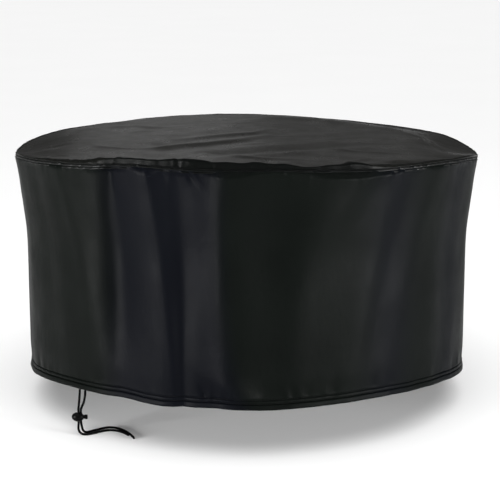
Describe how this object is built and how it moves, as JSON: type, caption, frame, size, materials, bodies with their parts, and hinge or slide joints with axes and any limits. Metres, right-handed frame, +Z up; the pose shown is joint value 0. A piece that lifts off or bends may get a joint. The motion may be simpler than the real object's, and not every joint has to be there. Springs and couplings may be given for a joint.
{
  "type": "patio furniture cover",
  "caption": "Round fitted furniture cover of dark coated cloth: a top panel and a draped, folded skirt whose hem is drawn in by a cord with a spring cord lock.",
  "frame": {"origin": "under the middle of the top panel, on the underside of the cloth, where it lies on the furniture", "axes": "+Z up, +X to the right as seen from the front, -Y towards the front, where the drawcord's lock hangs to the left"},
  "size_m": [1.5743, 1.5813, 0.907],
  "materials": {
    "top_cloth": "satin coated weave",
    "skirt_cloth": "satin coated weave",
    "binding": "matte weave",
    "cord": "braided, matte",
    "lock_plastic": "moulded, fine texture"
  },
  "bodies": {
    "cover": {"top_panel": "top_cloth", "rim_tape": "binding", "skirt": "skirt_cloth", "drawcord_left": "cord", "drawcord_right": "cord", "cord_lock_body": "lock_plastic"},
    "plunger": {"cord_lock_plunger": "lock_plastic"}
  },
  "joints": [
    {"name": "plunger_press", "type": "slide", "parent": "cover", "child": "plunger", "axis": [-1, 0, 0], "range_m": [0, 0.0035], "stiffness_N_per_m": 300}
  ]
}
